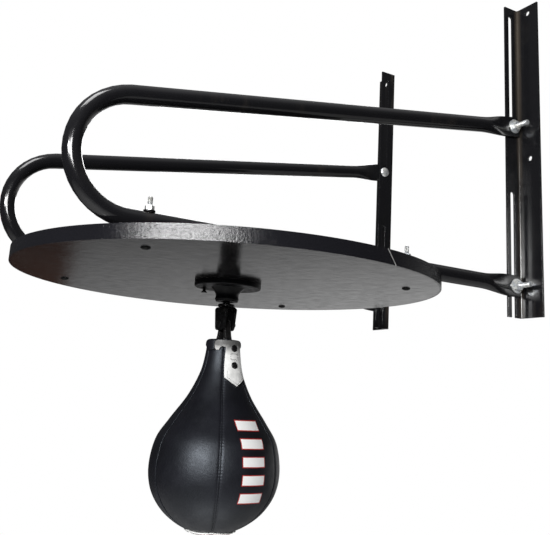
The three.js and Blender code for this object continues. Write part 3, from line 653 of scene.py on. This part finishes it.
def add_casing(leather):
    angles = panel_angles()
    arcs = np.linspace(0, ARC[-1] - 0.0015, SKIN_ROWS)
    rows = []
    for arc in np.linspace(ARC[-1] * 0.985, 0, 90):
        rows.append([bag_inner_point(angle, arc) for angle in angles])
    rim = SKIN / 2
    for step in range(1, 6):
        turn = math.pi * step / 6
        lift = -rim - rim * math.cos(turn)
        rows.append([rim_point(angle, lift, rim * math.sin(turn)) for angle in angles])
    for arc in arcs:
        rows.append([bag_point(angle, arc) for angle in angles])
    vertices = [point for row in rows for point in row]
    faces = grid_faces(len(rows), len(angles), True)
    columns = len(angles)
    vertices.append(BAG_AXIS + Vector((0, 0, BAG_LOW.z + SKIN)))
    faces += [(len(vertices) - 1, (c + 1) % columns, c) for c in range(columns)]
    vertices.append(BAG_AXIS + Vector((0, 0, BAG_LOW.z)))
    last = (len(rows) - 1) * columns
    faces += [(len(vertices) - 1, last + c, last + (c + 1) % columns) for c in range(columns)]
    casing = add_mesh("leather_casing", vertices, faces, leather, "bag", "black_leather")
    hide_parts("bag_casing")
    store_surface_places(casing)


def bag_inner_point(angle, arc):
    radius, height, radial, up = along_bag(arc)
    heading = angle + TAB_HEADING
    reach = max(radius - radial * SKIN, 0.001)
    return BAG_AXIS + Vector((reach * math.cos(heading), reach * math.sin(heading), height - up * SKIN))


def rim_point(angle, lift, rise):
    heading = angle + TAB_HEADING
    reach = RADIUS[0] + lift
    return BAG_AXIS + Vector((reach * math.cos(heading), reach * math.sin(heading), HEIGHT[0] + rise))


def store_surface_places(piece):
    """Writes each point's distance round the bag from the tab's middle, and its height."""
    mesh = piece.data
    points = np.empty(len(mesh.vertices) * 3)
    mesh.vertices.foreach_get("co", points)
    points = points.reshape(-1, 3) - np.array(BAG_AXIS)
    angle = np.arctan2(points[:, 1], points[:, 0]) - TAB_HEADING
    radius = np.hypot(points[:, 0], points[:, 1])
    for name, values in (("across", radius * angle), ("height", points[:, 2])):
        layer = mesh.attributes.new(name, "FLOAT", "POINT")
        layer.data.foreach_set("value", values.astype(np.float32))


# Printed stripes on the panel below the tab, in metres.
STRIPE_TOP = -0.186
STRIPE_PITCH = 0.0225
STRIPE_COUNT = 5
STRIPE_HALF_HEIGHT = 0.0068
STRIPE_HALF_WIDTH = 0.0185
STRIPE_EDGE = 0.0011


def print_stripes(surface):
    """A stack of equal white bars with a thin red edge."""
    across = surface.math("ABSOLUTE", surface.attribute("across"))
    down = surface.math("SUBTRACT", STRIPE_TOP, surface.attribute("height"))
    row = surface.math("DIVIDE", down, STRIPE_PITCH)
    in_row = surface.math("ABSOLUTE", surface.math("SUBTRACT", surface.math("FRACT", row), 0.5))
    from_side = surface.math("SUBTRACT", STRIPE_HALF_HEIGHT, surface.math("MULTIPLY", in_row, STRIPE_PITCH))
    inside = surface.math("MINIMUM", from_side, surface.math("SUBTRACT", STRIPE_HALF_WIDTH, across))
    below = surface.math("SUBTRACT", STRIPE_COUNT * STRIPE_PITCH, down)
    inside = surface.math("MINIMUM", inside, surface.math("MINIMUM", down, below))
    red = surface.remap(inside, -0.0001, 0.0001)
    white = surface.remap(inside, STRIPE_EDGE - 0.0001, STRIPE_EDGE + 0.0001)
    plain = surface.shader.inputs["Base Color"].links[0].from_socket
    printed = surface.blend(red, plain, (0.38, 0.025, 0.018))
    surface.set("Base Color", surface.blend(white, printed, (0.8, 0.8, 0.79)))
    return surface.material


def tube_along(points, radius, sides=10):
    """Vertices and faces of a round tube with closed ends through the points."""
    points = [Vector(point) for point in points]
    vertices, faces = [], []
    side = None
    for index, point in enumerate(points):
        ahead = (points[min(index + 1, len(points) - 1)] - points[max(index - 1, 0)]).normalized()
        if side is None:
            side = ahead.orthogonal().normalized()
        side = (side - ahead * side.dot(ahead)).normalized()
        other = ahead.cross(side)
        for step in range(sides):
            turn = 2 * math.pi * step / sides
            vertices.append(point + radius * (math.cos(turn) * side + math.sin(turn) * other))
    faces += grid_faces(len(points), sides, True)
    faces.append(tuple(range(sides))[::-1])
    last = (len(points) - 1) * sides
    faces.append(tuple(last + step for step in range(sides)))
    return vertices, faces


def join_parts(parts):
    vertices, faces = [], []
    for part_vertices, part_faces in parts:
        start = len(vertices)
        vertices += part_vertices
        faces += [tuple(start + index for index in face) for face in part_faces]
    return vertices, faces


def add_piping(leather):
    """A thin welt in each seam, from the hem to the edge of the bottom patch."""
    parts = []
    end = patch_edge_arc()
    for angle in SEAM_ANGLES:
        line = [bag_point(angle, arc, -PIPING_SINK) for arc in np.arange(0.008, end, 0.002)]
        parts.append(tube_along(line, PIPING_RADIUS))
    add_mesh("seam_piping", *join_parts(parts), leather, "bag", "black_leather")


def stitch_part(centre, along, out, length, radius):
    """One stitch: a short thread that dips into the leather at both ends."""
    path = []
    for t in np.linspace(-1, 1, 7):
        path.append(centre + along * (t * length / 2) + out * (radius * (1.1 - 1.9 * t**4)))
    return tube_along(path, radius, 6)


def add_stitches(name, places, length, radius, material, slot):
    parts = [stitch_part(*place, length, radius) for place in places]
    add_mesh(name, *join_parts(parts), material, "bag", slot)


def add_hem(leather):
    """The turned-over edge at the mouth, a little thicker than the skin."""
    sections = []
    for t in np.linspace(0, 1, 9):
        sections.append((0.0006 + 0.0010 * math.sin(math.pi * t) ** 0.5, 0.0005 + 0.0085 * t))
    profile = [(0.0002, 0.0), *sections, (0.0002, 0.0095)]
    angles = np.linspace(0, 2 * math.pi, 96, endpoint=False)
    rows = [[bag_point(angle, arc, lift) for angle in angles] for lift, arc in profile]
    inner = [[bag_point(angle, arc, -0.001) for angle in angles] for arc in (0.0095, 0.0)]
    rows += inner
    rows.append(rows[0])
    vertices = [point for row in rows for point in row]
    faces = grid_faces(len(rows), len(angles), True)
    add_mesh("mouth_hem", vertices, faces, leather, "bag", "black_leather")


# Tab -------------------------------------------------------------------------------------------
TAB_THICK = 0.0019
TAB_LIFT = 0.0005
TAB_TOP = -0.0842
STITCH_LENGTH = 0.0017
STITCH_RADIUS = 0.00028
# Half of the tab as (distance from its middle, height), from the tip up, on the plain side and on
# the side with the rounded ear that is folded round the neck.
TAB_PLAIN_SIDE = [(0.0165, -0.136), (0.0118, -0.0955), (0.0118, TAB_TOP)]
TAB_EAR_SIDE = [
    (0.0165, -0.136), (0.0118, -0.0955), (0.0130, -0.0935), (0.0170, -0.0928), (0.0194, -0.0946),
    (0.0212, -0.0978), (0.0245, -0.0982), (0.0268, -0.0960), (0.0276, -0.0905), (0.0262, -0.0858),
    (0.0230, TAB_TOP),
]
TAB_POINT = (0.0, -0.147)


def over_skin(across, height, heading, lift):
    """A point on the casing at that distance round from the heading, and that height."""
    radius = float(np.interp(-height, -HEIGHT, RADIUS)) + lift + PANEL_CROWN
    angle = heading + across / radius
    return BAG_AXIS + Vector((radius * math.cos(angle), radius * math.sin(angle), height))


def skin_piece(name, outline, heading, thickness, leather):
    """A flat shape of (distance round, height) points, cut fine and laid on the casing."""
    shape = bmesh.new()
    shape.faces.new([shape.verts.new((x, 0, z)) for x, z in outline])
    for axis, ends in ((0, [x for x, _ in outline]), (2, [z for _, z in outline])):
        for value in np.arange(min(ends) + 0.0006, max(ends), 0.0012):
            normal = [0, 0, 0]
            normal[axis] = 1
            cut = [0, 0, 0]
            cut[axis] = value
            everything = shape.verts[:] + shape.edges[:] + shape.faces[:]
            bmesh.ops.bisect_plane(shape, geom=everything, plane_co=cut, plane_no=normal)
    for vertex in shape.verts:
        vertex.co = over_skin(vertex.co.x, vertex.co.z, heading, TAB_LIFT)
    bmesh.ops.recalc_face_normals(shape, faces=shape.faces)
    middle = BAG_AXIS + Vector((0, 0, -0.12))
    outward = sum(face.normal.dot(face.calc_center_median() - middle) for face in shape.faces)
    if outward < 0:
        bmesh.ops.reverse_faces(shape, faces=shape.faces)
    mesh = bpy.data.meshes.new(name)
    shape.to_mesh(mesh)
    shape.free()
    mesh.polygons.foreach_set("use_smooth", [True] * len(mesh.polygons))
    mesh.materials.append(leather)
    piece = bpy.data.objects.new(name, mesh)
    bpy.context.scene.collection.objects.link(piece)
    solid = piece.modifiers.new("thickness", "SOLIDIFY")
    solid.thickness = thickness
    solid.offset = 1.0
    edge = piece.modifiers.new("edge", "BEVEL")
    edge.width = 0.0005
    edge.segments = 3
    edge.limit_method = "ANGLE"
    edge.angle_limit = math.radians(50)
    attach(piece, "bag")
    return piece


def stitch_places(corners, heading, lift):
    """Centres, directions and outward normals of stitches along a line of (distance round, height)."""
    places = []
    for (x0, z0), (x1, z1) in zip(corners, corners[1:]):
        length = math.hypot(x1 - x0, z1 - z0)
        count = max(1, round(length / (STITCH_LENGTH * 1.5)))
        for index in range(count):
            share = (index + 0.5) / count
            across, height = x0 + (x1 - x0) * share, z0 + (z1 - z0) * share
            centre = over_skin(across, height, heading, lift)
            ahead = over_skin(across + (x1 - x0) * 0.01, height + (z1 - z0) * 0.01, heading, lift)
            out = Vector((centre.x - BAG_AXIS.x, centre.y - BAG_AXIS.y, 0)).normalized()
            places.append((centre, (ahead - centre).normalized(), out))
    return places


def add_tab(name, turn, leather, dark_thread, node):
    """The pale tab with its folded ear, a stitched box between the rivets and a stitched point."""
    heading = TAB_HEADING + turn
    outline = [TAB_POINT, *TAB_PLAIN_SIDE, *[(-x, z) for x, z in TAB_EAR_SIDE[::-1]]]
    tab = skin_piece(name, outline, heading, TAB_THICK, leather)
    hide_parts(node)
    lift = TAB_LIFT + TAB_THICK
    box = [(-0.0058, -0.1025), (0.0058, -0.1025), (0.0058, -0.1105), (-0.0058, -0.1105), (-0.0058, -0.1025)]
    point = [(0.0118, -0.126), (0.0140, -0.1352), (0.0, -0.1443), (-0.0140, -0.1352), (-0.0118, -0.126)]
    places = stitch_places(box, heading, lift) + stitch_places(point, heading, lift)
    add_stitches(f"{name}_stitches", places, STITCH_LENGTH, STITCH_RADIUS, dark_thread, "pale_leather")


def add_hem_corner(leather):
    """The black square that covers the join of the turned-over hem."""
    heading = TAB_HEADING - HEM_CORNER_TURN
    outline = [(-0.0068, -0.0985), (0.0068, -0.0985), (0.0068, TAB_TOP), (-0.0068, TAB_TOP)]
    skin_piece("hem_corner", outline, heading, 0.0022, leather)


# Bottom patch and strap ------------------------------------------------------------------------
def add_patch(leather):
    """The round pale disc under the bag, with a rounded edge."""
    start = patch_edge_arc()
    arcs = np.linspace(start, ARC[-1] - 0.001, 18)
    under = [(0.0, arc) for arc in arcs[::-1]]
    outer = [(PATCH_THICK, arc) for arc in arcs]
    profile = [*under, (0.0008, start - 0.0006), *outer]
    angles = np.linspace(0, 2 * math.pi, 96, endpoint=False)
    rows = [[bag_point(angle, arc, lift + PATCH_LIFT) for angle in angles] for lift, arc in profile]
    vertices = [point for row in rows for point in row]
    faces = grid_faces(len(rows), len(angles), True)
    last = (len(rows) - 1) * len(angles)
    faces.append(tuple(last + index for index in range(len(angles))))
    faces.append(tuple(range(len(angles)))[::-1])
    patch = add_mesh("bottom_disc", vertices, faces, leather, "bag", "pale_leather")
    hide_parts("bottom_patch")


def add_patch_stitches(thread_material):
    """A ring of stitches just inside the edge of the bottom disc."""
    arc = patch_edge_arc() + PATCH_STITCH_INSET
    places = []
    for index in range(PATCH_STITCH_COUNT):
        angle = 2 * math.pi * index / PATCH_STITCH_COUNT
        centre = bag_point(angle, arc, PATCH_THICK + PATCH_LIFT)
        ahead = bag_point(angle + 0.02, arc, PATCH_THICK + PATCH_LIFT)
        out = bag_point(angle, arc, PATCH_THICK + 0.001) - centre
        places.append((centre, (ahead - centre).normalized(), out.normalized()))
    add_stitches("disc_stitches", places, STITCH_LENGTH, STITCH_RADIUS, thread_material, "pale_leather")


STRAP_WIDTH = 0.0126
STRAP_THICK = 0.0030
STRAP_END = -0.126
STRAP_TURN_RADIUS = 0.0048       # the most that its middle stands off the pin's centre
STRAP_STITCH_SIDE = 0.0045       # a line of stitches to each side of the middle
STRAP_STITCH_LENGTH = 0.0019
STRAP_STITCH_END = -0.088
STRAP_INNER_STITCH_TOP = -0.068  # above this the inner face has none, so the pin stays clear


def strap_path():
    """The middle of the strap as (distance from the bag's axis, height), over the pin and down."""
    pin_low, pin_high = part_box("clevis_pin")
    pin_height = (pin_low.z + pin_high.z) / 2
    around = min((pin_high.z - pin_low.z) / 2 + 0.0001 + STRAP_THICK / 2, STRAP_TURN_RADIUS)
    half = []
    for turn in np.linspace(0, math.pi / 2, 12, endpoint=False)[::-1]:
        half.append((around * math.cos(turn), pin_height + around * math.sin(turn)))
    knots_z = np.array([-0.060, -0.076, -0.087, -0.094, -0.106, -0.118, STRAP_END])
    inside = [np.interp(-z, -HEIGHT, RADIUS) - SKIN for z in knots_z[3:]]
    wall = [math.sqrt(radius ** 2 - (STRAP_WIDTH / 2) ** 2) for radius in inside]
    knots_x = np.array([around, 0.0080, 0.0120, *[w - 0.0003 - STRAP_THICK / 2 for w in wall]])
    for z in np.arange(pin_height - 0.001, STRAP_END, -0.0015):
        half.append((float(np.interp(-z, -knots_z, knots_x)), float(z)))
    return [(-x, z) for x, z in half[::-1]] + half


def add_strap(leather, thread_material):
    """The hanging loop: a flat strap with rounded edges, stitched along both sides."""
    path = strap_path()
    radial = Vector((math.cos(TAB_HEADING), math.sin(TAB_HEADING), 0))
    sideways = Vector((-radial.y, radial.x, 0))
    points = [BAG_AXIS + radial * x + Vector((0, 0, z)) for x, z in path]
    section = []
    for step in range(24):
        turn = 2 * math.pi * step / 24
        across = math.copysign(abs(math.cos(turn)) ** 0.35, math.cos(turn)) * STRAP_WIDTH / 2
        through = math.copysign(abs(math.sin(turn)) ** 0.6, math.sin(turn)) * STRAP_THICK / 2
        section.append((across, through))
    vertices = []
    places = []
    for index, point in enumerate(points):
        ahead = (points[min(index + 1, len(points) - 1)] - points[max(index - 1, 0)]).normalized()
        out = ahead.cross(sideways)
        vertices += [point + sideways * across + out * through for across, through in section]
        if index % 2 == 0 and point.z > STRAP_STITCH_END:
            stitched = (-1, 1) if point.z < STRAP_INNER_STITCH_TOP else (1,)
            for edge in (-STRAP_STITCH_SIDE, STRAP_STITCH_SIDE):
                for face in stitched:
                    centre = point + sideways * edge + out * face * STRAP_THICK / 2
                    places.append((centre, ahead, out * face))
    faces = grid_faces(len(points), len(section), True)
    faces.append(tuple(range(len(section)))[::-1])
    last = (len(points) - 1) * len(section)
    faces.append(tuple(last + step for step in range(len(section))))
    strap = add_mesh("strap_loop", vertices, faces, leather, "bag", "webbing")
    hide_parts("hanging_loop")
    add_stitches("strap_stitches", places, STRAP_STITCH_LENGTH, STITCH_RADIUS, thread_material, "webbing")


def lathe(name, profile, material, node):
    """A closed turned body from (radius, height) points, replacing a soft CAD node."""
    angles = np.linspace(0, 2 * math.pi, 72, endpoint=False)
    vertices = []
    for radius, height in profile:
        for angle in angles:
            vertices.append(BAG_AXIS + Vector((radius * math.cos(angle), radius * math.sin(angle), height)))
    faces = grid_faces(len(profile), len(angles), True)
    last = (len(profile) - 1) * len(angles)
    faces.append(tuple(range(len(angles))))
    faces.append(tuple(last + index for index in range(len(angles)))[::-1])
    faces = [face[::-1] for face in faces]
    body = add_mesh(name, vertices, faces, material, "bag", "latex")
    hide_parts(node)


BLADDER_NECK = 0.0043
BLADDER_GAP = 0.0008             # between the casing's inner face and the bladder
BLADDER_WALL = 0.0012


def add_bladder(latex):
    """The inflated bladder inside the casing, open at the neck for its valve."""
    low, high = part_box("bladder")
    gap = SKIN + BLADDER_GAP
    every_fourth = (values[::4] for values in (RADIUS, HEIGHT, OUT_RADIAL, OUT_UP))
    rows = [
        (radius - radial * gap, height - up * gap)
        for radius, height, radial, up in zip(*every_fourth)
    ]
    outside = [(radius, height) for radius, height in rows if height < high.z and radius > 0.002]
    inside = [(radius - BLADDER_WALL, height) for radius, height in outside if radius > 0.004]
    under_top = high.z - BLADDER_WALL
    shell = [
        (BLADDER_NECK, under_top), (BLADDER_NECK, high.z),
        *[(outside[0][0] * share, high.z) for share in (0.5, 0.9)],
        *outside, (0.0015, low.z + 0.0001), (0.0015, low.z + 0.0014), *inside[::-1],
        *[(inside[0][0] * share, under_top) for share in (0.9, 0.5)],
    ]
    lathe("latex_bladder", shell, latex, "bladder")


def add_valve(latex):
    """The bladder's moulded valve: a flanged stem with a blind hole in its top."""
    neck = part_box("bladder")[1].z
    low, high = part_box("bladder_valve")
    foot, top = low.z, high.z
    profile = [
        (0.0005, foot), (0.0036, foot), (0.0040, foot + 0.0006), (0.0040, neck + 0.0003),
        (0.0068, neck + 0.0003), (0.0070, neck + 0.0009), (0.0066, neck + 0.0015),
        (0.0042, neck + 0.0023), (0.0034, neck + 0.006), (0.0032, top - 0.0006),
        (0.0026, top), (0.0012, top), (0.0011, top - 0.004), (0.0004, top - 0.004),
    ]
    lathe("latex_valve", profile, latex, "bladder_valve")


def main():
    add_camera()
    add_world()
    add_stage()
    add_lights()
    finish_cad_nodes()
    leather = black_leather()
    plain_leather = black_leather("seam_leather").material
    casing_leather = print_stripes(leather)
    pale = pale_leather()
    dark_thread = sewing_thread("dark_thread", (0.05, 0.05, 0.05))
    grey_thread = sewing_thread("grey_thread", (0.05, 0.05, 0.052))
    add_casing(casing_leather)
    add_piping(plain_leather)
    add_hem(plain_leather)
    add_hem_corner(plain_leather)
    add_tab("front_leather_tab", 0, pale, dark_thread, "front_tab")
    add_tab("rear_leather_tab", math.pi, pale, dark_thread, "rear_tab")
    add_patch(pale)
    add_patch_stitches(grey_thread)
    add_strap(strap_leather(), grey_thread)
    latex = natural_latex()
    add_bladder(latex)
    add_valve(latex)


bpy.context.scene.view_settings.view_transform = "Standard"
main()
